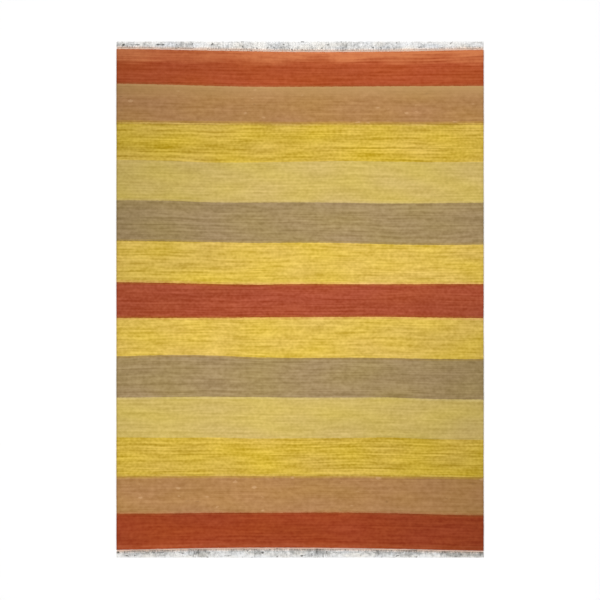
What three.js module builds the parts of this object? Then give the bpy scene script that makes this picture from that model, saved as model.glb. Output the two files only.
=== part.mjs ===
// A flat-woven kilim rug lying flat: one cloth of striped wool with a knotted cotton fringe at each end.
// Millimetres, +Z up. The origin is on the floor under the middle of the rug.
// +X runs along the weft, across the rug, and +Y runs along the warp, to the far fringe.
import * as THREE from 'three';

// Overall sizes. The length runs from the cut tips of one fringe to those of the other.
const RUG_WIDTH = 1700;
const RUG_LENGTH = 2390;
const CLOTH_THICKNESS = 4;

// How far each woven end stops short of the fringe tips, at five even stations from -X to +X.
// The weaving pulls in along the middle, so both ends bow inwards.
const FRINGE_DEPTHS = {
  far: [34, 41, 48, 46, 38],
  near: [35, 43.5, 45, 40, 31],
};

// The cloth's edges in section: how far in from the edge, with the underside and the top there.
// The selvedge is woven round a bundle of outer warps, so it stands a little proud of the field.
const SELVEDGE_SECTION = [
  { inset: 0, under: 1.3, top: 3.5 },
  { inset: 0.9, under: 0.3, top: 4.7 },
  { inset: 2.8, under: 0, top: 5.2 },
  { inset: 5.2, under: 0, top: 4.7 },
  { inset: 7.5, under: 0, top: CLOTH_THICKNESS },
];
const WOVEN_END_SECTION = [
  { inset: 0, under: 0.9, top: 2.7 },
  { inset: 1, under: 0.2, top: 3.5 },
  { inset: 2.8, under: 0, top: CLOTH_THICKNESS },
];
const FIELD_COLUMNS = 15;
const FIELD_ROWS = 16;

// The knot row: a narrow strip along each woven end, with this gap to the cloth. Its section
// is given outwards from the cloth, and the locks grow out of the wall from WALL_FOOT to WALL_TOP.
const KNOT_ROW_GAP = 0.35;
const KNOT_ROW_INSET = 1;
const KNOT_ROW_SECTION = [
  { out: 0, z: 0 },
  { out: 5, z: 0 },
  { out: 4.4, z: 3.2 },
  { out: 0.5, z: 3.4 },
];
const WALL_FOOT = 1;
const WALL_TOP = 2;

// The locks of one fringe, each a bundle of warp ends knotted once and cut off.
const LOCKS_PER_END = 144;
const LOCKS_SIDE_INSET = 3;
const LOCK_PITCH = (RUG_WIDTH - 2 * LOCKS_SIDE_INSET) / LOCKS_PER_END;
const LOCK_ROOT_HALF = 2.4;
const LOCK_TRIM = 2.4;
const LOCK_LEAN = 1;
const CLUMP_CLOSING = 0.15;
const CLUMP_SIZES = [3, 5, 2, 4, 6, 3, 2, 5, 4];
const FULL_LENGTH_EVERY = 9;

// A lock beyond its root: share of its length, half width at the floor and at its crown, height.
const LOCK_SECTIONS = [
  { share: 0.13, half: 3.7, crown: 2.2, top: 4.4 },
  { share: 0.27, half: 3.1, crown: 1.9, top: 3 },
  { share: 0.58, half: 4.4, crown: 3.1, top: 2.6 },
  { share: 1, half: 4.7, crown: 3.4, top: 1.7 },
];

// Golden-ratio steps give an even scatter between -0.5 and 0.5 that is the same at every build.
const SCATTER_STEP = 0.6180339887;
const SCATTER_SHIFT = 0.7548776662;

const COLOURS = { wool: 0xbc8f4c, cotton: 0xe9e3d6 };
const CLOTH_ROUGHNESS = 0.95;

function scatter(index, kind) {
  return ((index + 1) * SCATTER_STEP + (kind + 1) * SCATTER_SHIFT) % 1 - 0.5;
}

function indexedGeometry(positions, indices) {
  const geometry = new THREE.BufferGeometry();
  geometry.setAttribute('position', new THREE.Float32BufferAttribute(positions, 3));
  geometry.setIndex(indices);
  geometry.computeVertexNormals();
  return geometry;
}

// Place along Y of a woven end at a place across the rug. The far end is side +1, the near end -1.
function wovenEdge(depths, side, x) {
  const last = depths.length - 1;
  const stations = depths.map((depth, i) => new THREE.Vector2((i / last - 0.5) * RUG_WIDTH, depth));
  const depth = new THREE.SplineCurve(stations).getPoint(x / RUG_WIDTH + 0.5).y;
  return side * (RUG_LENGTH / 2 - depth);
}

// Lines of the cloth's grid along one direction: an edge section at both sides of an even field.
function gridLines(section, length, fieldSteps) {
  const inner = section[section.length - 1].inset;
  const lines = section.map((row) => ({ ...row, at: row.inset }));
  for (let i = 1; i < fieldSteps; i += 1) {
    lines.push({ at: inner + (length - 2 * inner) * i / fieldSteps, under: 0, top: CLOTH_THICKNESS });
  }
  const mirrored = section.map((row) => ({ ...row, at: length - row.inset }));
  return lines.concat(mirrored.reverse());
}

// The woven cloth: a grid of top points, each over its underside point, joined round the border.
function clothGeometry() {
  const across = gridLines(SELVEDGE_SECTION, RUG_WIDTH, FIELD_COLUMNS);
  const rows = 2 * WOVEN_END_SECTION.length + FIELD_ROWS - 1;
  const positions = [];
  for (const column of across) {
    const x = column.at - RUG_WIDTH / 2;
    const nearY = wovenEdge(FRINGE_DEPTHS.near, -1, x);
    const farY = wovenEdge(FRINGE_DEPTHS.far, 1, x);
    for (const row of gridLines(WOVEN_END_SECTION, farY - nearY, FIELD_ROWS)) {
      const y = nearY + row.at;
      const top = column.top * row.top / CLOTH_THICKNESS;
      positions.push(x, y, top, x, y, Math.max(column.under, row.under));
    }
  }
  const vertex = (i, j) => 2 * (i * rows + j);
  const indices = [];
  for (let i = 0; i < across.length - 1; i += 1) {
    for (let j = 0; j < rows - 1; j += 1) {
      const [a, b, c, d] = [vertex(i, j), vertex(i + 1, j), vertex(i + 1, j + 1), vertex(i, j + 1)];
      indices.push(a, b, c, a, c, d);
      indices.push(a + 1, c + 1, b + 1, a + 1, d + 1, c + 1);
    }
  }
  const border = [];
  for (let i = 0; i < across.length - 1; i += 1) border.push(vertex(i, 0));
  for (let j = 0; j < rows - 1; j += 1) border.push(vertex(across.length - 1, j));
  for (let i = across.length - 1; i > 0; i -= 1) border.push(vertex(i, rows - 1));
  for (let j = rows - 1; j > 0; j -= 1) border.push(vertex(0, j));
  border.forEach((a, k) => {
    const b = border[(k + 1) % border.length];
    indices.push(a + 1, b + 1, b, a + 1, b, a);
  });
  return indexedGeometry(positions, indices);
}

// How far the tip of each lock leans along X. Locks fall into clumps, whose tips draw together.
function lockLeans(kind) {
  const leans = [];
  for (let clump = 0; leans.length < LOCKS_PER_END; clump += 1) {
    const size = CLUMP_SIZES[clump % CLUMP_SIZES.length];
    const lean = 2 * LOCK_LEAN * scatter(clump, kind);
    const closing = CLUMP_CLOSING * (0.5 + scatter(clump, kind + 1)) * LOCK_PITCH;
    for (let i = 0; i < size; i += 1) leans.push(lean - closing * (i - (size - 1) / 2));
  }
  return leans.slice(0, LOCKS_PER_END);
}

// The corners of each section of one lock, lying on the floor from its root to its cut tip.
function lockRings(index, kind, depths, side, lean) {
  const rootX = (index + 0.5 - LOCKS_PER_END / 2) * LOCK_PITCH;
  const rootY = wovenEdge(depths, side, rootX) + side * (KNOT_ROW_GAP + KNOT_ROW_SECTION[WALL_FOOT].out);
  const trim = index % FULL_LENGTH_EVERY ? LOCK_TRIM * (0.5 + scatter(index, kind + 2)) : 0;
  const tipY = side * (RUG_LENGTH / 2 - trim);
  return LOCK_SECTIONS.map((section) => {
    const x = rootX + lean * section.share;
    const y = rootY + (tipY - rootY) * section.share;
    return [
      [x - section.half, y, 0],
      [x + section.half, y, 0],
      [x + section.crown, y, section.top],
      [x - section.crown, y, section.top],
    ];
  });
}

// One end's fringe as a single body: the knot row, with a lock growing out of its wall at each root.
function fringeGeometry(depths, side, kind) {
  const positions = [];
  const indices = [];
  const points = KNOT_ROW_SECTION.length;
  const addPoint = (point) => {
    positions.push(...point);
    return positions.length / 3 - 1;
  };
  const addFace = (...corners) => {
    const loop = side > 0 ? corners : corners.reverse();
    for (let i = 1; i < loop.length - 1; i += 1) indices.push(loop[0], loop[i], loop[i + 1]);
  };
  const addStation = (x) => {
    const y = wovenEdge(depths, side, x) + side * KNOT_ROW_GAP;
    return KNOT_ROW_SECTION.map((point) => addPoint([x, y + side * point.out, point.z]));
  };
  const joinStations = (from, to, openWall) => {
    for (let i = 0; i < points; i += 1) {
      const next = (i + 1) % points;
      if (!(openWall && i === WALL_FOOT)) addFace(from[i], from[next], to[next], to[i]);
    }
  };
  const growLock = (root, rings) => {
    let last = root;
    for (const ring of rings) {
      const corners = ring.map(addPoint);
      corners.forEach((corner, i) => {
        const next = (i + 1) % corners.length;
        addFace(last[i], corner, corners[next], last[next]);
      });
      last = corners;
    }
    addFace(...last.toReversed());
  };
  const leans = lockLeans(kind);
  let previous = addStation(KNOT_ROW_INSET - RUG_WIDTH / 2);
  addFace(...previous.toReversed());
  leans.forEach((lean, index) => {
    const rootX = (index + 0.5 - LOCKS_PER_END / 2) * LOCK_PITCH;
    const left = addStation(rootX - LOCK_ROOT_HALF);
    const right = addStation(rootX + LOCK_ROOT_HALF);
    joinStations(previous, left, false);
    joinStations(left, right, true);
    const root = [left[WALL_FOOT], right[WALL_FOOT], right[WALL_TOP], left[WALL_TOP]];
    growLock(root, lockRings(index, kind, depths, side, lean));
    previous = right;
  });
  const end = addStation(RUG_WIDTH / 2 - KNOT_ROW_INSET);
  joinStations(previous, end, false);
  addFace(...end);
  return indexedGeometry(positions, indices);
}

function namedMesh(name, geometry, color) {
  const material = new THREE.MeshStandardMaterial({ color, roughness: CLOTH_ROUGHNESS, metalness: 0 });
  const mesh = new THREE.Mesh(geometry, material);
  mesh.name = name;
  return mesh;
}

const rug = new THREE.Group();
rug.add(namedMesh('kilim_cloth', clothGeometry(), COLOURS.wool));
rug.add(namedMesh('fringe_far', fringeGeometry(FRINGE_DEPTHS.far, 1, 0), COLOURS.cotton));
rug.add(namedMesh('fringe_near', fringeGeometry(FRINGE_DEPTHS.near, -1, 4), COLOURS.cotton));

export default rug;
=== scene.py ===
import math

import bpy
import numpy as np
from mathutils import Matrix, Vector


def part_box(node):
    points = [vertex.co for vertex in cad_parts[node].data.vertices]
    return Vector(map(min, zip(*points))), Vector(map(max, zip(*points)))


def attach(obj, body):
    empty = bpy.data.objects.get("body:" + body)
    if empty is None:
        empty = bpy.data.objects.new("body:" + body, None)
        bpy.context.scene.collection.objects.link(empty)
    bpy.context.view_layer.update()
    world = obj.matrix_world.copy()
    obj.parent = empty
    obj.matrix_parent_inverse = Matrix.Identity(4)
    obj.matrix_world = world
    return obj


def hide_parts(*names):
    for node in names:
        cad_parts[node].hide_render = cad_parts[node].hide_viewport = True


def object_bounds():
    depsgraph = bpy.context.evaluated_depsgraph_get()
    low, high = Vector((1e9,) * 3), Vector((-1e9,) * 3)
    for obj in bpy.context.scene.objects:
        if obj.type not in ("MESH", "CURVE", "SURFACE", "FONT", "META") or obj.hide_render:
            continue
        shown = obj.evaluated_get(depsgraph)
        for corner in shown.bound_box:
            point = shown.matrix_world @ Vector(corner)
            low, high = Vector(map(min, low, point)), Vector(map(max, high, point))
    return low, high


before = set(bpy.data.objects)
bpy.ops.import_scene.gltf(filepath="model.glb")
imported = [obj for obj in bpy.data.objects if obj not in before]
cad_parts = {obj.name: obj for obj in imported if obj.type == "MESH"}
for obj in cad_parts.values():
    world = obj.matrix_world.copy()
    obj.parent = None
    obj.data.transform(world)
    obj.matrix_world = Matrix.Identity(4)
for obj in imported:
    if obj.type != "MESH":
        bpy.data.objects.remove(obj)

CAD_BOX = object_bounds()
MM = 0.001

# Sizes of the rug, from its packed cloth and fringes.
CLOTH_LOW, CLOTH_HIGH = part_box("kilim_cloth")
RUG_WIDTH = CLOTH_HIGH[0] - CLOTH_LOW[0]
HALF_WIDTH = RUG_WIDTH / 2
RUG_LENGTH = CAD_BOX[1][1] - CAD_BOX[0][1]
CLOTH_THICKNESS = 4 * MM

# How far each woven end stops short of the fringe tips, in millimetres, at five even stations across.
FRINGE_DEPTHS = {"far": (34, 41, 48, 46, 38), "near": (35, 43.5, 45, 40, 31)}

# Where the weft changes colour, from the near end to the far end: the place along the rug at nine even
# stations across it, in millimetres. The beating wandered a little, so no change is quite straight.
CHANGE_STATIONS_WIDTH = 1667.5 * MM
COLOUR_CHANGES = (
    (-991, -990, -987, -987, -986, -986, -989, -995, -999),
    (-819, -818, -817, -817, -818, -818, -819, -821, -824),
    (-638, -640, -639, -643, -642, -641, -639, -647, -649),
    (-454, -452, -450, -452, -454, -454, -454, -461, -463),
    (-262, -257, -259, -267, -270, -269, -271, -275, -276),
    (-85, -85, -85, -83, -82, -81, -81, -84, -86),
    (80, 77, 72, 69, 72, 71, 71, 72, 72),
    (272, 269, 266, 262, 263, 261, 255, 252, 254),
    (460, 458, 450, 449, 450, 448, 445, 446, 448),
    (646, 643, 634, 635, 638, 641, 638, 636, 637),
    (821, 819, 817, 815, 814, 815, 814, 814, 816),
    (999, 995, 989, 985, 985, 986, 987, 988, 989),
)

# The dyed wools as they look in the studio: screen colour, how far single threads depart from it, and
# how much of that is in long runs, in flecks, in broad patches and in slubs. No thread departs by more
# than TONE_REACH times as far.
TONE_REACH = 3
WOOLS = {
    "near rust": ((157, 69, 38), 4.1, (0.5, 0.7, 0.47, 0.52)),
    "tan": ((176, 131, 83), 4.2, (0.56, 0.48, 0.66, 0.47)),
    "mustard": ((206, 173, 65), 8.6, (0.7, 0.78, 0.06, 0.53)),
    "straw": ((206, 180, 100), 4.6, (0.56, 0.68, 0.42, 0.61)),
    "taupe": ((163, 139, 96), 5.6, (0.64, 0.63, 0.52, 0.48)),
    "light gold": ((219, 185, 82), 7.4, (0.58, 0.74, 0.42, 0.52)),
    "brick": ((170, 81, 54), 5.3, (0.72, 0.66, 0.35, 0.57)),
    "far rust": ((174, 82, 47), 4.8, (0.75, 0.45, 0.4, 0.35)),
}
STRIPES = (
    "near rust", "tan", "mustard", "straw", "taupe", "light gold", "brick",
    "light gold", "taupe", "straw", "mustard", "tan", "far rust",
)

# At most changes the last picks of one wool lie between the first of the next, and a thin line shows.
# By change: the colour of the line below it, and of the line above it.
LINE_DEPTH = 9 * MM
CHANGE_LINES = {
    1: ((152, 73, 38), (177, 125, 80)),
    2: ((180, 140, 73), (201, 167, 70)),
    4: ((207, 183, 110), None),
    5: ((167, 140, 86), None),
    6: ((222, 177, 91), (165, 85, 44)),
    7: ((165, 86, 44), (223, 178, 92)),
    8: (None, (166, 140, 86)),
    9: (None, (208, 182, 110)),
    11: ((198, 162, 72), (181, 139, 72)),
    12: ((190, 140, 93), (168, 86, 48)),
}
END_LINE_DEPTH = 22 * MM
NEAR_END_LINE = (166, 80, 48)

# The outermost pick at each end is pale cotton.
PALE_PICK_DEPTHS = {"near": 1.6 * MM, "far": 1.4 * MM}
PALE_PICKS = {"near": (212, 166, 146), "far": (250, 208, 184)}

# Screen colours of the pale and dark knots of fibre that were spun into the tan wool.
PALE_KNOT = (224, 182, 138)
DARK_KNOT = (126, 92, 60)

# The lighter rust thread next to the far fringe: how deep it lies, how much less for each metre to the
# right, how far it takes to fade, and its colour. The tan wool beside it starts off lighter too.
LIGHT_END_DEPTH = 65 * MM
LIGHT_END_TAPER = 0.006
LIGHT_END_FADE = 44 * MM
LIGHT_RUST = (211, 127, 82)
LIGHT_TAN_DEPTH = 70 * MM
LIGHT_TAN = (190, 151, 99)

# How light the rug is in the middle, how much lighter at one side of each half than in the middle, how
# much that grows for each metre towards the ends, and how much darker it is painted towards both
# selvedges:
# painted shade for the light falling off towards the sides.
MIDDLE_LIGHTNESS = 1.044
SIDE_LIGHTNESS = 0.06
SIDE_GROWTH = 0.05 / 1.15
FALLOFF_PAINTED_SHADE = 0.132

# The cotton's screen colours: where it was handled and where shade is painted on it, and the dark specks
# in it.
HANDLED_AND_SHADED_COTTON = (140, 139, 135)
DARK_SPECK = (72, 70, 62)

# Surface colour of the clean cotton, its cooler and warmer casts, and the stain of dye that ran into it.
CLEAN_COTTON = (0.87, 0.862, 0.845, 1.0)
COOL_CAST = (0.94, 0.985, 1.06, 1.0)
WARM_CAST = (1.06, 1.015, 0.94, 1.0)
DYE_STAIN = (1.0, 0.7, 0.54, 1.0)

# The studio light on the floor, and what the plain gloss of the fibres adds to every colour.
LIGHT_LEVEL = 1.24
GLOSS_LEVEL = 0.012


def linear(colour):
    """The surface colour that looks like this screen colour under the studio light."""
    shares = np.asarray(colour) / 255
    curve = np.where(shares <= 0.04045, shares / 12.92, ((shares + 0.055) / 1.055) ** 2.4)
    return (*(float(share) for share in np.maximum(curve - GLOSS_LEVEL, 0.002) / LIGHT_LEVEL), 1.0)


def curve_through(stations, share):
    """Height of a smooth curve through even stations, at shares of its length."""
    stations = np.asarray(stations, float)
    last = len(stations) - 1
    place = np.clip(share, 0, 1) * last
    before = np.minimum(place.astype(int), last - 1)
    t = place - before
    start = stations[before]
    end = stations[before + 1]
    leaving = (end - stations[np.maximum(before - 1, 0)]) / 2
    arriving = (stations[np.minimum(before + 2, last)] - start) / 2
    cubic = 2 * (start - end) + leaving + arriving
    square = 3 * (end - start) - 2 * leaving - arriving
    return cubic * t**3 + square * t**2 + leaving * t + start


def woven_end(side, x):
    """Place along the rug of a woven end, at places across it. The far end is side 1, the near -1."""
    depths = FRINGE_DEPTHS["far" if side > 0 else "near"]
    return side * (RUG_LENGTH / 2 - curve_through(depths, x / RUG_WIDTH + 0.5) * MM)


def weft_lines(x):
    """Places along the rug of both woven ends and every colour change, at places across it."""
    changes = [curve_through(line, x / CHANGE_STATIONS_WIDTH + 0.5) * MM for line in COLOUR_CHANGES]
    return np.array([woven_end(-1, x), *changes, woven_end(1, x)])


MEAN_LINES = weft_lines(np.linspace(-0.5, 0.5, 101) * RUG_WIDTH).mean(1)


# Size of the grid of heights that smooth relief is drawn from, and a shift that keeps places positive.
LATTICE = (61, 997)
LATTICE_SHIFT = 1000


def unevenness(x, y, size_x, size_y, seed):
    """Smooth random relief between -1 and 1, its swells about size_x by size_y metres."""
    lattice = np.random.default_rng(seed).uniform(-1, 1, LATTICE)
    across = x / size_x + LATTICE_SHIFT
    along = y / size_y + LATTICE_SHIFT
    column = np.floor(across).astype(int)
    row = np.floor(along).astype(int)
    fx = across - column
    fy = along - row
    fx = fx * fx * (3 - 2 * fx)
    fy = fy * fy * (3 - 2 * fy)

    def height(i, j):
        return lattice[(column + i) % LATTICE[0], (row + j) % LATTICE[1]]

    near = height(0, 0) * (1 - fx) + height(1, 0) * fx
    far = height(0, 1) * (1 - fx) + height(1, 1) * fx
    return near * (1 - fy) + far * fy


def deselect_all():
    for thing in bpy.context.selected_objects:
        thing.select_set(False)


def read_points(piece):
    points = np.empty(3 * len(piece.data.vertices))
    piece.data.vertices.foreach_get("co", points)
    return points.reshape(-1, 3)


def write_points(piece, points):
    piece.data.vertices.foreach_set("co", np.asarray(points, float).ravel())
    piece.data.update()


def give_map(mesh, name, places):
    """Lays a flat map over a mesh, from one place for each corner of each face."""
    layer = mesh.uv_layers.new(name=name)
    layer.uv.foreach_set("vector", np.asarray(places, float).ravel())


# The camera hangs straight above the rug, half a pixel nearer than its middle.
PIXEL = 4.632 * MM
PICTURE_SIDE = 600 * PIXEL
LENS = 85
SENSOR = 36
camera_data = bpy.data.cameras.new("camera")
camera_data.lens = LENS
camera_data.sensor_width = SENSOR
camera_data.clip_end = 100
camera = bpy.data.objects.new("camera", camera_data)
camera.location = (0, -0.5 * PIXEL, PICTURE_SIDE * LENS / SENSOR)
bpy.context.collection.objects.link(camera)
bpy.context.scene.camera = camera


class Signal:
    """A value inside a finish. A sum on signals adds its Math nodes."""

    def __init__(self, finish, node, output=0):
        self.finish = finish
        self.source = node
        self.socket = node.outputs[output]

    def __getitem__(self, output):
        return Signal(self.finish, self.source, output)

    def combine(self, operation, first, second):
        return self.finish.node("ShaderNodeMath", {"operation": operation}, {0: first, 1: second})

    def __add__(self, other):
        return self.combine("ADD", self, other)

    def __radd__(self, other):
        return self.combine("ADD", other, self)

    def __sub__(self, other):
        return self.combine("SUBTRACT", self, other)

    def __rsub__(self, other):
        return self.combine("SUBTRACT", other, self)

    def __mul__(self, other):
        return self.combine("MULTIPLY", self, other)


class Finish:
    """A material, built up node by node."""

    # How far apart the noises of two seeds lie, across and along, in spots.
    SEED_STEPS = (31.7, 13.9)

    def __init__(self, name):
        self.material = bpy.data.materials.new(name)
        self.material.use_nodes = True
        self.tree = self.material.node_tree
        self.tree.nodes.clear()

    def node(self, kind, settings=None, sockets=None):
        made = self.tree.nodes.new(kind)
        for name, value in (settings or {}).items():
            if name == "stops":
                self.set_stops(made.color_ramp, value)
            else:
                setattr(made, name, value)
        for name, value in (sockets or {}).items():
            if isinstance(value, Signal):
                self.tree.links.new(value.socket, made.inputs[name])
            else:
                made.inputs[name].default_value = value
        return Signal(self, made) if made.outputs else None

    def set_stops(self, ramp, stops):
        ramp.interpolation = "CONSTANT"
        ramp.elements.remove(ramp.elements[1])
        for position, colour in stops[1:]:
            ramp.elements.new(position).color = colour
        ramp.elements[0].position = stops[0][0]
        ramp.elements[0].color = stops[0][1]

    def math(self, operation, value, other=0.0):
        return self.node("ShaderNodeMath", {"operation": operation}, {0: value, 1: other})

    def kept_within(self, value, low, high):
        return self.node("ShaderNodeClamp", None, {"Value": value, "Min": low, "Max": high})

    def mix(self, factor, first, second, blend="MIX"):
        sockets = {0: factor, 6: first, 7: second}
        return self.node("ShaderNodeMix", {"data_type": "RGBA", "blend_type": blend}, sockets)[2]

    def noise(self, across, along, width, depth, seed, detail=0.0):
        """Noise about zero whose spots are width metres across and depth metres along."""
        step_across, step_along = self.SEED_STEPS
        place = {
            "X": across * (1 / width) + seed * step_across,
            "Y": along * (1 / depth) + seed * step_along,
        }
        flat = self.node("ShaderNodeCombineXYZ", None, place)
        spots = {"Vector": flat, "Scale": 1.0, "Detail": detail}
        return self.node("ShaderNodeTexNoise", {"noise_dimensions": "2D"}, spots) - 0.5

    def map_axes(self, name):
        flat = self.node("ShaderNodeUVMap", {"uv_map": name})
        return self.node("ShaderNodeSeparateXYZ", None, {"Vector": flat})

    def shine(self, sockets):
        shader = self.node("ShaderNodeBsdfPrincipled", None, sockets)
        self.node("ShaderNodeOutputMaterial", None, {"Surface": shader})
        return self.material


# The weave map: places across and along the flat weave, both as shares of this span about the middle.
WEAVE_SPAN = 2.4
WARP_PITCH = 3.3 * MM
PICK_PITCH = 1.3 * MM


def weave_share(place):
    return place / WEAVE_SPAN + 0.5


def thread_bands():
    """Where each band of weft starts along the rug, with its colour and its wool, from the near end."""
    first = WOOLS[STRIPES[0]]
    bands = [(-RUG_LENGTH / 2, PALE_PICKS["near"], first)]
    bands.append((MEAN_LINES[0] + PALE_PICK_DEPTHS["near"], NEAR_END_LINE, first))
    bands.append((MEAN_LINES[0] + END_LINE_DEPTH, first[0], first))
    for change in range(1, len(STRIPES)):
        line = MEAN_LINES[change]
        below, above = CHANGE_LINES.get(change, (None, None))
        wool = WOOLS[STRIPES[change]]
        if below:
            bands.append((line - LINE_DEPTH, below, WOOLS[STRIPES[change - 1]]))
        if above:
            bands.append((line, above, wool))
        bands.append((line + (LINE_DEPTH if above else 0), wool[0], wool))
    bands.append((MEAN_LINES[-1] - PALE_PICK_DEPTHS["far"], PALE_PICKS["far"], WOOLS[STRIPES[-1]]))
    return bands


def wool_weave():
    """Weft-faced wool: stripes of uneven dye and yarn, in fine picks over a hidden warp."""
    wool = Finish("wool_weave")
    axes = wool.map_axes("Weave")
    across = (axes["X"] - 0.5) * WEAVE_SPAN
    straight = (axes["Y"] - 0.5) * WEAVE_SPAN
    wander = wool.noise(across, straight, 0.3, 0.07, 1) * 7 * MM

    # Every pick goes over one warp and under the next, so the beads that show are set back by half a
    # pick on every other warp. Each bead has one colour: that of the pick at its own middle.
    warp = wool.math("FLOOR", across * (1 / WARP_PITCH))
    picks = (straight + wander) * (1 / PICK_PITCH) + warp * 0.5
    pick = wool.math("FLOOR", picks)
    along = (pick - warp * 0.5 + 0.5) * PICK_PITCH
    meeting = along - wander + wool.noise(warp * WARP_PITCH, along, 0.02, 0.02, 2) * 2 * MM

    # The bands are counted up to each place, because a ramp alone is too coarse for lines this thin.
    bands = thread_bands()
    band = sum(wool.math("GREATER_THAN", meeting, start) for start, colour, made_of in bands[1:])
    place = (band + 0.5) * (1 / len(bands))

    def by_band(values):
        stops = [(count / len(bands), value) for count, value in enumerate(values)]
        return wool.node("ShaderNodeValToRGB", {"stops": stops}, {"Fac": place})

    dark, light = (
        by_band([linear(np.asarray(colour) + way * made_of[1]) for start, colour, made_of in bands])
        for way in (-TONE_REACH, TONE_REACH)
    )
    kinds = by_band([made_of[2] for start, colour, made_of in bands])
    share = wool.node("ShaderNodeSeparateColor", None, {"Color": kinds})

    runs = wool.noise(across, along, 1.0, 7 * MM, 3)
    flecks = wool.noise(across, along, 0.12, 11 * MM, 4)
    patches = wool.noise(across, along, 30 * MM, 20 * MM, 5)
    slubs = wool.noise(across, along, 14 * MM, 11 * MM, 6)
    threads = wool.noise(across, along, 0.09, 0.6 * MM, 8)
    streak = runs * share["Red"] + flecks * share["Green"]
    streak = streak + patches * share["Blue"] + slubs * kinds["Alpha"]
    streak = streak + threads * 0.7
    tone = wool.kept_within(streak + 0.5, 0.0, 1.0)
    colour = wool.mix(tone, dark, light)

    # From place to place the wool took up less of the yellow dye or more.
    paler = wool.noise(across, straight, 0.24, 0.09, 16)
    paler = paler * wool.node("ShaderNodeSeparateColor", None, {"Color": colour})["Green"]
    places = {0: (0, -0.035, 0.11), 1: paler, 2: colour}
    colour = wool.node("ShaderNodeVectorMath", {"operation": "MULTIPLY_ADD"}, places)

    # A few pale and dark knots of fibre were spun into the tan wool, told by its large share of patches.
    knots = wool.noise(across, along, 44 * MM, 22 * MM, 19) + threads * 0.16
    spun_in = wool.kept_within((share["Blue"] - 0.56) * 12, 0.0, 1.0)
    pale = wool.kept_within((knots - 0.36) * 10, 0.0, 0.36)
    dark_knots = wool.kept_within((-0.38 - knots) * 10, 0.0, 0.4)
    colour = wool.mix(pale * spun_in, colour, linear(PALE_KNOT))
    colour = wool.mix(dark_knots * spun_in, colour, linear(DARK_KNOT))

    # Lighter thread was used up next to the far fringe, least of it on the left, short of the selvedge.
    from_end = MEAN_LINES[-1] - straight
    reach = LIGHT_END_DEPTH - wool.kept_within(across, 0.0, HALF_WIDTH) * LIGHT_END_TAPER
    frayed = wool.noise(across, straight, 0.2, 0.06, 9) * 0.9 + flecks * 0.5 + runs * 0.3
    light_end = wool.kept_within((reach - from_end) * (1 / LIGHT_END_FADE) + frayed, 0.0, 1.0)
    most = wool.kept_within(across * 0.75 + 0.95, 0.55, 1.0)
    most = most + wool.kept_within(across * -3 - 1.85, 0.0, 0.45)
    most = most * (0.9 + streak * 0.8)
    last_wool = wool.math("GREATER_THAN", from_end, PALE_PICK_DEPTHS["far"])
    colour = wool.mix(light_end * most * last_wool, colour, linear(LIGHT_RUST))

    # The tan wool beside it starts off lighter.
    into_tan = (meeting - MEAN_LINES[-2] + LIGHT_TAN_DEPTH) * (1 / LIGHT_TAN_DEPTH)
    light_start = wool.kept_within(into_tan, 0.0, 1.0) * wool.math("LESS_THAN", into_tan, 1.0)
    colour = wool.mix(light_start * (0.72 + across * 0.2), colour, linear(LIGHT_TAN))

    # The rug is a little lighter on the right in the far half and on the left in the near half, and it is
    # painted darker towards both selvedges: painted shade for the light falling off towards the sides.
    half = wool.kept_within(straight * 6, -1.0, 1.0)
    to_side = half * SIDE_LIGHTNESS + straight * SIDE_GROWTH
    lightness = across * (1 / HALF_WIDTH) * to_side + MIDDLE_LIGHTNESS
    lightness = lightness - across * across * (FALLOFF_PAINTED_SHADE / HALF_WIDTH**2)
    lightness = lightness + wool.noise(across, straight, 0.35, 0.08, 10) * 0.1

    # Each warp makes a low rib, and each pick a rounded bead over it.
    rib = wool.math("ABSOLUTE", wool.math("SINE", across * (math.pi / WARP_PITCH)))
    bead = wool.math("ABSOLUTE", wool.math("SINE", picks * math.pi)) * (rib * 0.5 + 0.5)
    lumps = wool.noise(across, straight, 0.04, 9 * MM, 7, 1.0)
    fibres = wool.noise(across, straight, 1.6 * MM, 0.3 * MM, 15, 1.0)
    height = rib * 0.2 + bead * 0.24 + fibres * 0.1 + threads * 0.2 + streak * 0.1 + lumps * 0.25

    # Painted shade: the selvedges are painted a little darker, and so are the dips between the beads and
    # between the warp ribs.
    past_field = wool.math("ABSOLUTE", across) - (HALF_WIDTH - 11 * MM)
    selvedge_painted_shade = wool.kept_within(past_field * (1 / (9 * MM)), 0.0, 1.0)
    # Painted shade: darker in the last 11 mm at each selvedge, and in the dips through the bead and rib
    # terms.
    lightness = lightness * (1.0 - selvedge_painted_shade * 0.14) * (0.904 + bead * 0.16 + rib * 0.03 + fibres * 0.1)
    colour = wool.node("ShaderNodeVectorMath", {"operation": "SCALE"}, {0: colour, 3: lightness})
    bump = wool.node("ShaderNodeBump", None, {"Height": height, "Distance": MM, "Strength": 0.7})
    return wool.shine({
        "Base Color": colour,
        "Roughness": 0.86 + streak * 0.3,
        "Normal": bump,
        "Specular IOR Level": 0.1,
        "Sheen Weight": 0.08,
        "Sheen Roughness": 0.5,
    })


# How many times a ply crosses the top of a yarn in each YARN_MAP_LENGTH of it.
PLY_CROSSINGS = 9


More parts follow.
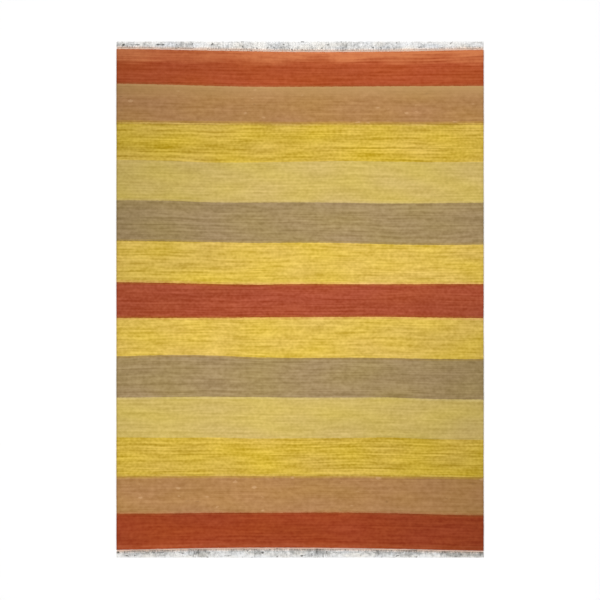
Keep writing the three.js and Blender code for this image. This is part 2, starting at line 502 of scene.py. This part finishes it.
def cotton():
    """Cotton yarn of two plies: grey where it was handled, darker in painted shade near the knots and in
    the grooves between plies, pink where dye ran in, with dark specks.
    """
    yarn = Finish("cotton_fringe")
    axes = yarn.map_axes("Yarn")
    ply = yarn.math("SINE", (axes["X"] * 2 + axes["Y"] * PLY_CROSSINGS) * (2 * math.pi))
    shade = yarn.node("ShaderNodeAttribute", {"attribute_name": "shade"})["Fac"]
    at = yarn.node("ShaderNodeSeparateXYZ", None, {"Vector": yarn.node("ShaderNodeTexCoord")["Object"]})
    across, along = at["X"], at["Y"]
    fuzz = yarn.noise(across, along, 3 * MM, 4 * MM, 11, 1.0)
    handled = yarn.noise(across, along, 19 * MM, 13 * MM, 12, 1.0)
    handled = handled + yarn.noise(across, along, 0.14, 0.06, 14) * 0.6
    # Painted shade: through ply the grooves between the plies are painted darker.
    tone = yarn.kept_within(shade + fuzz * 0.3 + handled + ply * 0.1, 0.0, 1.0)
    # Dark specks here and there, up to nine tenths of the way to the speck colour.
    speck_noise = yarn.noise(across, along, 23 * MM, 13 * MM, 13)
    speck_noise = speck_noise + yarn.noise(across, along, 1.3 * MM, 4 * MM, 17) * 0.24
    dark_specks = yarn.kept_within((speck_noise - 0.285) * 14, 0.0, 0.9)
    colour = yarn.mix(dark_specks, yarn.mix(tone, linear(HANDLED_AND_SHADED_COTTON), CLEAN_COTTON), linear(DARK_SPECK))
    creamy = yarn.noise(across, along, 0.1, 0.04, 18, 1.0) + 0.5
    cast = yarn.mix(creamy, COOL_CAST, WARM_CAST)
    colour = yarn.mix(1.0, colour, cast, "MULTIPLY")
    dye = yarn.node("ShaderNodeAttribute", {"attribute_name": "dye"})["Fac"]
    colour = yarn.mix(dye, colour, DYE_STAIN, "MULTIPLY")
    relief = {"Height": ply * 0.22 + fuzz * 0.35, "Distance": MM, "Strength": 1.0}
    bump = yarn.node("ShaderNodeBump", None, relief)
    return yarn.shine({
        "Base Color": colour,
        "Roughness": 0.9 - tone * 0.08,
        "Normal": bump,
        "Specular IOR Level": 0.1,
        "Sheen Weight": 0.08,
        "Sheen Roughness": 0.5,
    })


# Sections of the cloth's edges, in millimetres: the inset from the edge, the underside and the top there.
SELVEDGE = (
    (0, 1.8, 3.0), (0.25, 1.0, 3.9), (0.8, 0.4, 4.6), (1.7, 0.08, 5.05), (2.8, 0, 5.2),
    (4, 0, 5.05), (5.2, 0, 4.7), (6.4, 0, 4.3), (7.6, 0, 4.05), (9, 0, 4),
)
WOVEN_END = ((0, 1.2, 2.5), (0.3, 0.6, 3.1), (0.9, 0.25, 3.55), (1.8, 0.05, 3.85), (2.8, 0, 4))
TOP_COLUMNS = 100
TOP_ROWS = 780
UNDER_COLUMNS = 44
UNDER_ROWS = 130

# Places of the cloth's two sides on the baked picture: left, right, bottom and top. Each patch holds
# PATCH_LENGTH metres of the weave.
TOP_PATCH = (0.012, 0.56, 0.012, 0.988)
UNDER_PATCH = (0.59, 0.982, 0.02, 0.98)
PATCH_LENGTH = 2.32


def grid_lines(section, length, steps):
    """Places from 0 to length: those of the edge section at both ends, and even ones between."""
    insets = np.array([row[0] for row in section]) * MM
    between = np.linspace(insets[-1], length - insets[-1], steps - 2 * (len(insets) - 1) + 1)
    return np.concatenate([insets[:-1], between, length - insets[:-1][::-1]])


def edge_height(section, inset, column):
    """Height of one column of an edge section, this far in from the edge."""
    return np.interp(inset, [row[0] * MM for row in section], [row[column] * MM for row in section])


def weave_point(x, along):
    """Where a place on the flat weave lies on the rug, along its length."""
    lines = weft_lines(x)
    stripe = np.clip(np.searchsorted(MEAN_LINES, along, side="right") - 1, 0, len(STRIPES) - 1)
    share = (along - MEAN_LINES[stripe]) / (MEAN_LINES[stripe + 1] - MEAN_LINES[stripe])
    every = np.arange(len(x))
    return lines[stripe, every] * (1 - share) + lines[stripe + 1, every] * share


SWELL_HEIGHT = 1.5 * MM
COCKLE_HEIGHT = 1.4 * MM
COCKLE_REACH = 0.09


def lift(x, y):
    """How far the cloth stands off the floor: low swells, and a slight cockle along the selvedges."""
    swell = unevenness(x, y, 0.42, 0.26, 11) + 0.4 * unevenness(x, y, 0.16, 0.11, 12) - 0.25
    edge = np.clip(1 - (HALF_WIDTH - np.abs(x)) / COCKLE_REACH, 0, 1) ** 2
    cockle = unevenness(np.sign(x), y, 1.0, 0.075, 13) - 0.1
    return np.maximum(swell, 0) * SWELL_HEIGHT + np.maximum(cockle, 0) * edge * COCKLE_HEIGHT


def weft_ripple(x, along):
    """Low ridges along the weft, where thicker and thinner yarn was beaten down."""
    wide = unevenness(x, along, 0.23, 14 * MM, 14)
    narrow = unevenness(x, along, 0.09, 7.5 * MM, 15)
    patches = 0.65 + 0.35 * unevenness(x, along, 0.5, 0.12, 16)
    return (wide * 0.26 + narrow * 0.16) * MM * patches


def cloth_side(columns, rows, top):
    """One side of the cloth: a grid laid out along the weave, in its true relief."""
    bpy.ops.mesh.primitive_grid_add(x_subdivisions=columns, y_subdivisions=rows, size=1)
    side = bpy.context.object
    flat = read_points(side)
    if top:
        selvedge, woven_edge = SELVEDGE, WOVEN_END
    else:
        selvedge, woven_edge = SELVEDGE[::4], WOVEN_END[::2]
    length = MEAN_LINES[-1] - MEAN_LINES[0]
    across = grid_lines(selvedge, RUG_WIDTH, columns) - HALF_WIDTH
    along = grid_lines(woven_edge, length, rows) + MEAN_LINES[0]
    x = across[np.rint((flat[:, 0] + 0.5) * columns).astype(int)]
    weave_y = along[np.rint((flat[:, 1] + 0.5) * rows).astype(int)]
    y = weave_point(x, weave_y)
    side_inset = HALF_WIDTH - np.abs(x)
    end_inset = length / 2 - np.abs(weave_y - (MEAN_LINES[0] + MEAN_LINES[-1]) / 2)
    if top:
        height = edge_height(SELVEDGE, side_inset, 2) * edge_height(WOVEN_END, end_inset, 2)
        height = height / CLOTH_THICKNESS
        field = np.clip(np.minimum(side_inset - 6 * MM, end_inset - MM) / (8 * MM), 0, 1)
        height = height + weft_ripple(x, weave_y) * field
    else:
        height = np.maximum(edge_height(SELVEDGE, side_inset, 1), edge_height(WOVEN_END, end_inset, 1))
    bow = 1 + unevenness(np.sign(x), y, 1.0, 0.12, 17) * 0.8 * MM / RUG_WIDTH
    write_points(side, np.stack([x * bow, y, height + lift(x, y)], 1))
    return side, np.stack([x, weave_y], 1)


def on_patch(patch, x, y):
    """Where places on the weave lie on one patch of the baked picture."""
    left, right, bottom, top = patch
    picture_x = left + (x / RUG_WIDTH + 0.5) * (right - left)
    picture_y = bottom + (y / PATCH_LENGTH + 0.5) * (top - bottom)
    return np.stack([picture_x, picture_y], 1)


def make_cloth():
    """The woven cloth: its top and underside, bridged round the border."""
    deselect_all()
    top, top_weave = cloth_side(TOP_COLUMNS, TOP_ROWS, True)
    deselect_all()
    under, under_weave = cloth_side(UNDER_COLUMNS, UNDER_ROWS, False)
    bpy.ops.object.mode_set(mode="EDIT")
    bpy.ops.mesh.select_all(action="SELECT")
    bpy.ops.mesh.flip_normals()
    bpy.ops.object.mode_set(mode="OBJECT")
    for side in (top, under):
        side.select_set(True)
        while side.data.uv_layers:
            side.data.uv_layers.remove(side.data.uv_layers[0])
    bpy.context.view_layer.objects.active = top
    bpy.ops.object.join()
    cloth = bpy.context.object
    cloth.name = "woven_cloth"
    bpy.ops.object.mode_set(mode="EDIT")
    bpy.context.tool_settings.mesh_select_mode = (False, True, False)
    bpy.ops.mesh.select_all(action="DESELECT")
    bpy.ops.mesh.select_non_manifold()
    bpy.ops.mesh.bridge_edge_loops()
    bpy.ops.object.mode_set(mode="OBJECT")

    # Faces with corners on both grids are the rim. On the picture they lie just outside the underside.
    mesh = cloth.data
    weave = np.concatenate([top_weave, under_weave])
    corner = np.empty(len(mesh.loops), int)
    mesh.loops.foreach_get("vertex_index", corner)
    sides = np.empty(len(mesh.polygons), int)
    mesh.polygons.foreach_get("loop_total", sides)
    on_top = corner < len(top_weave)
    face = np.repeat(np.arange(len(sides)), sides)
    share_on_top = np.bincount(face, on_top) / sides
    place = weave[corner]
    inside = np.abs(place) < np.array([HALF_WIDTH, MEAN_LINES[-1] - MEAN_LINES[0]]) - MM
    outward = np.where(on_top[:, None] & ~inside, np.sign(place) * 10 * MM, 0)
    all_top = (share_on_top == 1)[face]
    rim = place + outward
    picture = np.where(
        all_top[:, None],
        on_patch(TOP_PATCH, place[:, 0], place[:, 1]),
        on_patch(UNDER_PATCH, rim[:, 0], rim[:, 1]),
    )
    give_map(mesh, "Weave", weave_share(place))
    give_map(mesh, "OFBake", picture)
    mesh.materials.clear()
    mesh.materials.append(wool_weave())
    mesh.shade_smooth()
    return cloth


# The fringe. Each lock hangs from the knot row, in the place of its solid.
KNOT_ROW_GAP = 0.35 * MM
KNOT_ROW_DEPTH = 5 * MM
LOCKS_PER_END = 144
LOCK_PITCH = (RUG_WIDTH - 6 * MM) / LOCKS_PER_END
LOCK_TRIM = 2.4 * MM
LOCK_LEAN = 1 * MM
CLUMP_CLOSING = 0.15
CLUMP_SIZES = (3, 5, 2, 4, 6, 3, 2, 5, 4)
FULL_LENGTH_EVERY = 9
SCATTER_STEP = 0.6180339887
SCATTER_SHIFT = 0.7548776662
YARNS_PER_LOCK = 8
STRAYS_PER_GAP = 3
ALONG_YARN = np.array([0, 0.012, 0.13, 0.27, 0.42, 0.58, 0.74, 0.88, 0.985, 1])
YARN_RADIUS = 1.05 * MM
TWINES_PER_LOCK = 3
WRAPS_PER_KNOT = 4
YARN_MAP_LENGTH = 50 * MM

# How much lighter than its lock a yarn is at its head and at its tip, by the side it lies at: the darker
# head is painted shade by the knot row.
SHADE_ALONG = {1: (-0.04, 0.22), -1: (-0.25, 0.33)}

# Form of a lock below its knot: shares of its length, with its half width and the height of its upper
# yarns there.
LOCK_STATIONS = (0, 0.13, 0.27, 0.58, 1)
LOCK_HALF_WIDTHS = np.array([4.6, 2.3, 3.4, 5, 6]) * MM
LOCK_HEIGHTS = np.array([1.6, 1.7, 1.4, 0.8, 0.35]) * MM

# Form of the twined row: how far a half turn swings aside, the height it swings about, and how far it
# swings up.
TWINE_SWING = 1.2 * MM
TWINE_HEIGHT = 2.3 * MM
TWINE_RISE = 0.85 * MM

# Form of a knot: how far down from the knot row it may slide, its core, and the yarns wrapped round it.
KNOT_SLIDE = 3 * MM
KNOT_LENGTH = 7.2 * MM
KNOT_HALF_WIDTH = 3.2 * MM
KNOT_HALF_HEIGHT = 1.7 * MM
WRAP_RADIUS = 1.02 * MM
WRAP_SPACING_MM = 1.75

# How light clean cotton is, between 0 and 1, and over how many locks the shade of a corner fades.
CLEAN_TONE = 0.8
CORNER_FADE = 10
FRINGE_SEED = 21


def scatter(index, kind):
    return ((index + 1) * SCATTER_STEP + (kind + 1) * SCATTER_SHIFT) % 1 - 0.5


def lock_leans(kind):
    """How far the tip of each lock leans. Locks fall into clumps, whose tips draw together."""
    leans = []
    clump = 0
    while len(leans) < LOCKS_PER_END:
        size = CLUMP_SIZES[clump % len(CLUMP_SIZES)]
        lean = 2 * LOCK_LEAN * scatter(clump, kind)
        closing = CLUMP_CLOSING * (0.5 + scatter(clump, kind + 1)) * LOCK_PITCH
        leans += [lean - closing * (i - (size - 1) / 2) for i in range(size)]
        clump += 1
    return np.array(leans[:LOCKS_PER_END])


class Rod:
    """One plain rod with closed ends, from a ball primitive, and the copies of it that are laid."""

    def __init__(self, segments, rings):
        deselect_all()
        bpy.ops.mesh.primitive_uv_sphere_add(segments=segments, ring_count=rings, radius=1)
        ball = bpy.context.object
        points = read_points(ball)
        self.angle = np.arctan2(points[:, 1], points[:, 0])
        self.station = np.rint(np.arccos(np.clip(-points[:, 2], -1, 1)) / math.pi * rings).astype(int)
        self.is_pole = (self.station == 0) | (self.station == rings)
        self.stations = rings + 1
        places = np.empty(2 * len(ball.data.loops))
        ball.data.uv_layers[0].uv.foreach_get("vector", places)
        places = places.reshape(-1, 2)
        # The ball's faces come in another order at each run, so they are sorted by their corners.
        in_order = sorted(ball.data.polygons, key=lambda face: tuple(face.vertices))
        self.faces = [list(face.vertices) for face in in_order]
        self.places = np.concatenate([places[list(face.loop_indices)] for face in in_order])
        bpy.data.objects.remove(ball)

    def lay(self, path, wide, high, hint):
        """Points of a copy for each path (copies, stations, 3), with its half width and height."""
        run = np.gradient(path, axis=1)
        run /= np.linalg.norm(run, axis=2, keepdims=True)
        aside = np.cross(run, hint)
        aside /= np.linalg.norm(aside, axis=2, keepdims=True)
        upward = np.cross(run, aside)
        round_x = np.where(self.is_pole, 0, np.cos(self.angle))[None, :, None]
        round_y = np.where(self.is_pole, 0, np.sin(self.angle))[None, :, None]
        at = self.station
        return (
            path[:, at]
            + aside[:, at] * wide[:, at, None] * round_x
            + upward[:, at] * high[:, at, None] * round_y
        )


class Bundle:
    """Laid rods, gathered for one mesh."""

    def __init__(self):
        self.points = []
        self.faces = []
        self.places = []
        self.cells = []
        self.shades = []
        self.count = 0
        self.rods = 0

    def add(self, rod, laid, length, shades):
        for copy, points in enumerate(laid):
            self.points.append(points)
            self.faces += [[corner + self.count for corner in face] for face in rod.faces]
            self.places.append(rod.places * (1, length[copy] / YARN_MAP_LENGTH))
            self.cells.append((self.rods, rod.places))
            self.shades.append(np.broadcast_to(shades[copy], rod.stations)[rod.station])
            self.count += len(points)
            self.rods += 1

    def make(self, name, side, material):
        mesh = bpy.data.meshes.new(name)
        points = np.concatenate(self.points)
        mesh.from_pydata(points.tolist(), [], self.faces)
        give_map(mesh, "Yarn", np.concatenate(self.places))
        wide = math.ceil(math.sqrt(self.rods))
        cells = [
            (np.array([rod % wide, rod // wide]) + 0.08 + places * 0.84) / wide
            for rod, places in self.cells
        ]
        give_map(mesh, "OFBake", np.concatenate(cells))
        outward = side * (points[:, 1] - woven_end(side, points[:, 0]))
        dye = np.clip(1.15 - outward / (14 * MM), 0, 1)
        for attribute, values in (("shade", np.concatenate(self.shades)), ("dye", dye)):
            mesh.attributes.new(attribute, "FLOAT", "POINT").data.foreach_set("value", values)
        mesh.materials.append(material)
        mesh.shade_smooth()
        piece = bpy.data.objects.new(name, mesh)
        bpy.context.collection.objects.link(piece)
        return piece


def stack(*columns):
    return np.stack(np.broadcast_arrays(*columns), -1)


def lay_twine_row(bundle, side, greyer, chance):
    """The row of twined cotton that binds the last pick: half turns of a two-ply cord, end to end."""
    rod = Rod(5, 6)
    count = LOCKS_PER_END * TWINES_PER_LOCK
    pitch = (RUG_WIDTH - 5 * MM) / count
    x = (np.arange(count) + 0.5 - count / 2) * pitch
    turn = np.linspace(-0.62, 0.62, rod.stations)[None, :]
    middle = woven_end(side, x)[:, None] + side * (KNOT_ROW_GAP + KNOT_ROW_DEPTH / 2)
    row_y = middle + side * TWINE_SWING * np.sin(np.pi * turn)
    row_z = TWINE_HEIGHT + TWINE_RISE * np.cos(np.pi * turn)
    thick = (1.38 + chance.uniform(-0.12, 0.08, (count, 1)) - 0.6 * turn**2) * MM
    path = stack(x[:, None] + turn * pitch, row_y, row_z)
    shades = chance.uniform(1.05, 1.25, count) - greyer
    bundle.add(rod, rod.lay(path, thick, thick * 0.9, (0, 0, 1)), np.full(count, 6 * MM), shades)


def lay_knots(bundle, side, roots, tips, tones, chance):
    """An overhand knot at the head of each lock: its own yarns, wrapped side by side over a core."""
    core = Rod(6, 4)
    count = len(roots)
    t = np.linspace(0, 1, core.stations)[None, :]
    run = (tips - roots) / (tips[:, 1:] - roots[:, 1:])
    slid = chance.uniform(0, 1, (count, 1)) ** 2 * KNOT_SLIDE
    plump = 1 + chance.uniform(-0.12, 0.12, (count, 1))
    reach = side * (slid + 0.4 * MM + t * KNOT_LENGTH)
    thick = np.sin(np.pi * np.clip(t * 0.9 + 0.05, 0, 1)) ** 0.5
    wide = KNOT_HALF_WIDTH * thick * plump
    high = KNOT_HALF_HEIGHT * thick * np.ones((count, 1))
    path = stack(roots[:, :1] + run[:, :1] * reach, roots[:, 1:] + reach, high + 0.1 * MM)
    bundle.add(core, core.lay(path, wide, high, (0, 0, 1)), np.full(count, 9 * MM), tones)
    wrap = Rod(5, 8)
    turn = np.linspace(-1, 1, wrap.stations)[None, :]
    way = np.where(chance.uniform(size=(count, 1)) < 0.5, -1, 1)
    slant = way * (1.1 + chance.uniform(-0.3, 0.3, (count, 1)))
    yarn = np.full((count, wrap.stations), WRAP_RADIUS)
    for rank in range(WRAPS_PER_KNOT):
        place = (rank - (WRAPS_PER_KNOT - 1) / 2) * WRAP_SPACING_MM
        fullness = (1 - 0.035 * place**2) * plump
        at = side * (slid + (4 + place) * MM)
        path = stack(
            roots[:, :1] + run[:, :1] * at + 3.1 * MM * fullness * np.sin(turn * 2),
            roots[:, 1:] + at + side * slant * turn * MM,
            (1.75 + 1.5 * fullness * np.cos(turn * 2)) * MM,
        )
        shades = tones + chance.uniform(-0.06, 0.26, count)
        bundle.add(wrap, wrap.lay(path, yarn, yarn * 0.95, (0, 1, 0)), np.full(count, 14 * MM), shades)


def lay_yarns(bundle, rod, side, start, end, aside, rise, tones, chance):
    """Single cut yarns from start to end, each aside of its line and risen off the floor on its way."""
    count = len(start)
    t = ALONG_YARN[None, :]
    curl = chance.normal(0, 1.7, (count, 1)) * t**2
    curl = curl + chance.normal(0, 1.1, (count, 1)) * np.sin(2 * np.pi * t) * t
    bend = chance.normal(0, 0.8, (count, 1)) * np.sin(3 * np.pi * t) * t
    length = side * (end[:, 1] - start[:, 1])
    x = start[:, :1] + (end[:, :1] - start[:, :1]) * t + aside + (curl + bend) * MM
    over = np.maximum(np.abs(x) - HALF_WIDTH + 2.5 * MM, 0)
    x = x - np.sign(x) * (over - 2 * MM * (1 - np.exp(-over / (2 * MM))))
    y = start[:, 1:] + side * length[:, None] * t
    yarn = YARN_RADIUS * (1 + chance.uniform(-0.15, 0.15, (count, 1))) * np.interp(t, (0, 1), (1, 0.95))
    arch = np.sin(np.pi * np.clip(t * 1.1 - 0.1, 0, 1)) ** 2
    loose = np.abs(chance.normal(0, 0.5, (count, 1))) * arch * MM
    shades = tones[:, None] + chance.normal(0, 0.08, (count, 1))
    # Painted shade: each yarn is darker at its head, by the knots, than at its tip.
    shades = shades + np.interp(t, (0, 1), SHADE_ALONG[side])
    path = stack(x, y, yarn + rise + loose)
    bundle.add(rod, rod.lay(path, yarn, yarn * 0.92, (0, 0, 1)), length, np.clip(shades, 0.02, 1))


def cut_short(share, some, most, count, chance):
    """How far short of full length yarns were cut: a share of them by one range, most by another."""
    are_some = chance.uniform(size=count) < share
    return np.where(are_some, chance.uniform(*some, count), chance.uniform(*most, count)) * MM


def lay_locks(bundle, side, roots, tips, tones, chance):
    """The cut warp ends below each knot: loose yarns that spread a little and lie on the floor."""
    rod = Rod(5, len(ALONG_YARN) - 1)
    count = len(roots) * YARNS_PER_LOCK
    lock = np.repeat(np.arange(len(roots)), YARNS_PER_LOCK)
    rank = np.tile(np.arange(YARNS_PER_LOCK), len(roots))
    spread = (rank / (YARNS_PER_LOCK - 1) - 0.5) * 2 + chance.uniform(-0.16, 0.16, count)
    upper = (rank % 2 == 1)[:, None]
    half = np.interp(ALONG_YARN, LOCK_STATIONS, LOCK_HALF_WIDTHS)
    height = np.interp(ALONG_YARN, LOCK_STATIONS, LOCK_HEIGHTS)
    short = cut_short(0.1, (2, 8), (-1, 0.6), count, chance)
    end = tips[lock] - np.stack([np.zeros(count), side * short], 1)
    aside = spread[:, None] * half
    rise = np.where(upper, height, 0.05 * MM)
    lay_yarns(bundle, rod, side, roots[lock], end, aside, rise, tones[lock], chance)


def lay_strays(bundle, side, tones, chance):
    """Yarns that no knot took up, which fill the gaps from lock to lock and outside the last locks."""
    rod = Rod(5, len(ALONG_YARN) - 1)
    gap = np.repeat(np.arange(LOCKS_PER_END + 1), STRAYS_PER_GAP)
    rank = np.tile(np.arange(STRAYS_PER_GAP), LOCKS_PER_END + 1)
    count = len(gap)
    x = (gap - LOCKS_PER_END / 2) * LOCK_PITCH
    y = woven_end(side, x) + side * (KNOT_ROW_GAP + KNOT_ROW_DEPTH - 0.6 * MM)
    short = cut_short(0.25, (3, 14), (0, 2), count, chance)
    start = np.stack([x, y], 1)
    end = np.stack([x + chance.normal(0, 1, count) * MM, side * (RUG_LENGTH / 2 - short)], 1)
    half = np.interp(ALONG_YARN, (0, 0.2, 1), (1.2, 2.4, 2)) * MM
    spread = (rank / (STRAYS_PER_GAP - 1) - 0.5) * 2 + chance.uniform(-0.3, 0.3, count)
    spread = np.where(gap == 0, rank * -0.6, np.where(gap == LOCKS_PER_END, rank * 0.6, spread))
    rise = np.abs(chance.normal(0, 0.4, (count, 1))) * MM
    beside = tones[np.minimum(gap, LOCKS_PER_END - 1)] - 0.04
    lay_yarns(bundle, rod, side, start, end, spread[:, None] * half, rise, beside, chance)


def lock_tones(middle, corners, chance):
    """How light each lock is. The locks of a clump were soiled together, and each corner differs."""
    sizes = [CLUMP_SIZES[clump % len(CLUMP_SIZES)] for clump in range(LOCKS_PER_END)]
    tones = middle + np.repeat(chance.uniform(-0.2, 0.2, LOCKS_PER_END), sizes)[:LOCKS_PER_END]
    tones += chance.uniform(-0.06, 0.06, LOCKS_PER_END)
    left = np.exp(-np.arange(LOCKS_PER_END) / CORNER_FADE)
    return tones - corners[0] * left - corners[1] * left[::-1]


def make_fringe(name, side, kind, greyer, corners, material):
    """One end's fringe: the twined row, then a knot and its loose yarns for each lock.

    Its kind picks its scatter. It is darker than clean cotton by greyer, and its left and right
    corners are darker still, or lighter, by corners.
    """
    chance = np.random.default_rng(FRINGE_SEED + kind)
    index = np.arange(LOCKS_PER_END)
    root_x = (index + 0.5 - LOCKS_PER_END / 2) * LOCK_PITCH
    root_y = woven_end(side, root_x) + side * (KNOT_ROW_GAP + KNOT_ROW_DEPTH)
    trims = np.where(index % FULL_LENGTH_EVERY, LOCK_TRIM * 0.4 * (0.5 + scatter(index, kind + 2)), 0)
    roots = np.stack([root_x, root_y], 1)
    tips = np.stack([root_x + lock_leans(kind), side * (RUG_LENGTH / 2 - trims)], 1)
    tones = lock_tones(CLEAN_TONE - greyer, corners, chance)
    bundle = Bundle()
    lay_twine_row(bundle, side, greyer, chance)
    lay_knots(bundle, side, roots, tips, tones, chance)
    lay_locks(bundle, side, roots, tips, tones, chance)
    lay_strays(bundle, side, tones, chance)
    return bundle.make(name, side, material)


cloth = make_cloth()
fringe_cotton = cotton()
far_fringe = make_fringe(
    "far_fringe_yarns", side=1, kind=0, greyer=0.025, corners=(0.24, -0.3), material=fringe_cotton
)
near_fringe = make_fringe(
    "near_fringe_yarns", side=-1, kind=4, greyer=0.2, corners=(-0.35, 0.3), material=fringe_cotton
)

for piece, node, slot in (
    (cloth, "kilim_cloth", "wool_weave"),
    (far_fringe, "fringe_far", "cotton_fringe"),
    (near_fringe, "fringe_near", "cotton_fringe"),
):
    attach(piece, "root")
    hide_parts(node)


# A plain pale floor under plain soft light.
FLOOR_SIZE = 40
FLOOR_COLOUR = (0.85, 0.85, 0.85, 1.0)
SKY_STRENGTH = 0.72
deselect_all()
bpy.ops.mesh.primitive_plane_add(size=FLOOR_SIZE, location=(0, 0, 0))
floor = bpy.context.object
floor.name = "floor"
pale = Finish("pale_floor")
matt = {"Base Color": FLOOR_COLOUR, "Roughness": 0.8, "Specular IOR Level": 0.2}
floor.data.materials.append(pale.shine(matt))


def hang_light(kind, name, place, energy, **settings):
    """A light that points at the middle of the rug."""
    light = bpy.data.lights.new(name, kind)
    light.energy = energy
    for setting, value in settings.items():
        setattr(light, setting, value)
    lamp = bpy.data.objects.new(name, light)
    lamp.location = place
    lamp.rotation_mode = "QUATERNION"
    lamp.rotation_quaternion = (-lamp.location).to_track_quat("-Z", "Y")
    lamp.visible_camera = False
    bpy.context.collection.objects.link(lamp)


world = bpy.data.worlds.new("studio")
world.use_nodes = True
sky = world.node_tree.nodes["Background"].inputs
sky["Color"].default_value = (1, 1, 1, 1)
sky["Strength"].default_value = SKY_STRENGTH
bpy.context.scene.world = world
hang_light("AREA", "softbox", (0, 0, 3), 62, shape="RECTANGLE", size=0.8, size_y=8)
hang_light("SUN", "key", (-3, 2.6, 3.2), 1.0, angle=math.radians(18))
bpy.context.scene.view_settings.view_transform = "Standard"
